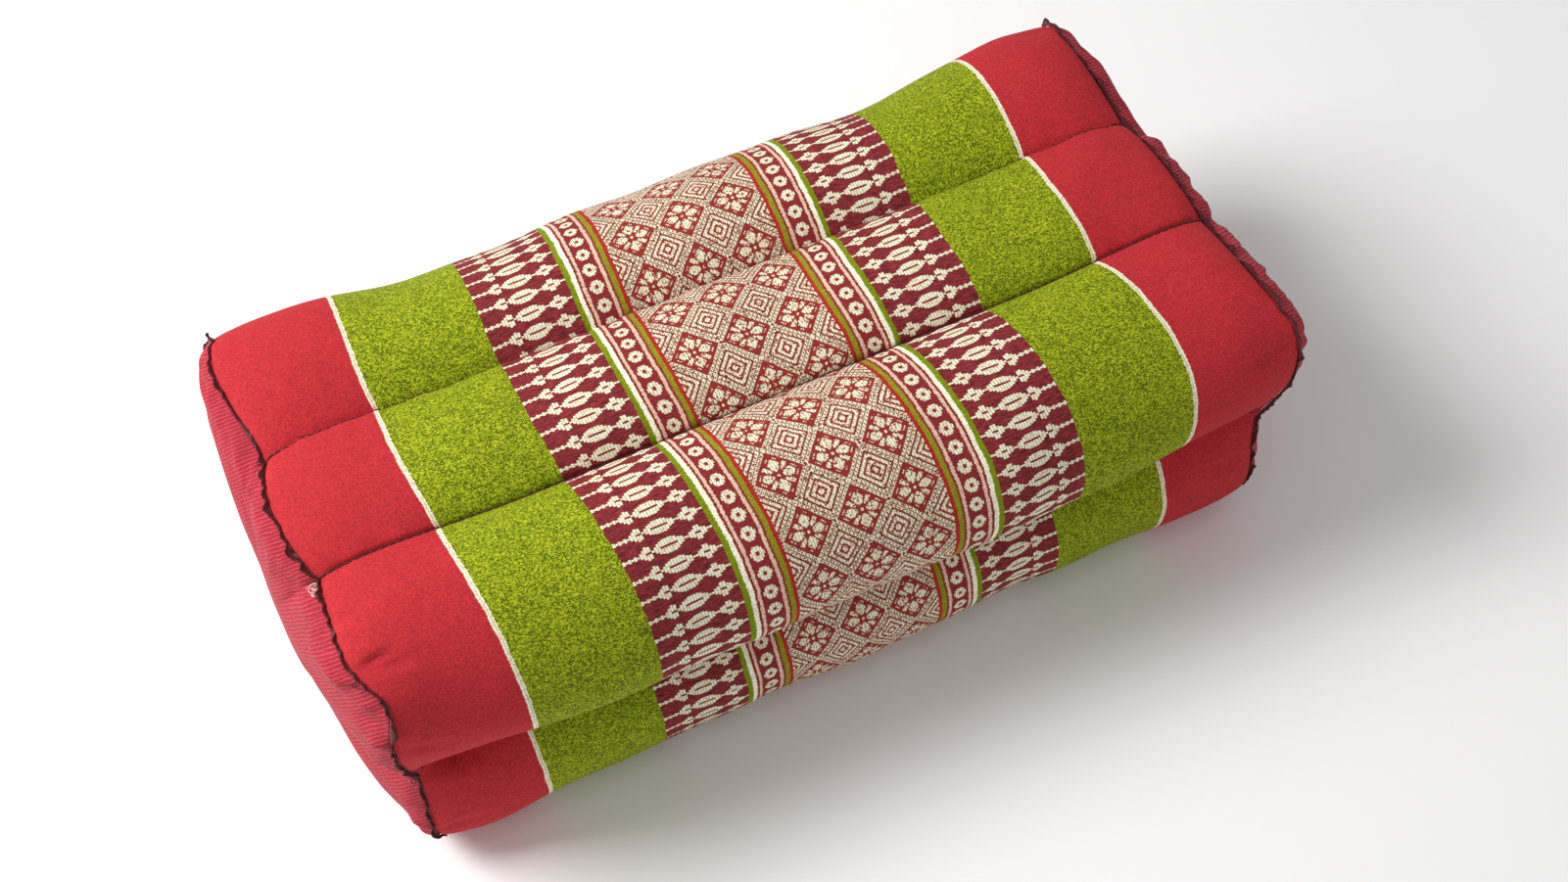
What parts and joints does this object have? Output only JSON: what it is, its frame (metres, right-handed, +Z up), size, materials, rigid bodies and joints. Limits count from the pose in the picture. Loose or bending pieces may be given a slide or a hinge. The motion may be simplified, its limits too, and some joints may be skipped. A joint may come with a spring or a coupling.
{
  "type": "yoga block cushion",
  "caption": "Firm block-shaped floor cushion of striped brocade, sewn into lengthwise filled channels, with plain panels and raised seams at both ends.",
  "frame": {"origin": "middle of the cushion's box, on the surface that it rests on", "axes": "+X along the channels, +Y across them towards the back, +Z up"},
  "size_m": [0.3678, 0.1898, 0.1205],
  "materials": {
    "brocade": "woven cotton brocade, striped green, red and cream",
    "red_cotton": "plain ribbed cotton, matt",
    "overlock_thread": "red cloth edge bound with dark brown overlock thread"
  },
  "bodies": {
    "root": {"cushion_body": "brocade", "end_panel_left": "red_cotton", "end_panel_right": "red_cotton", "seam_ridge_left": "overlock_thread", "seam_ridge_right": "overlock_thread"}
  },
  "joints": []
}
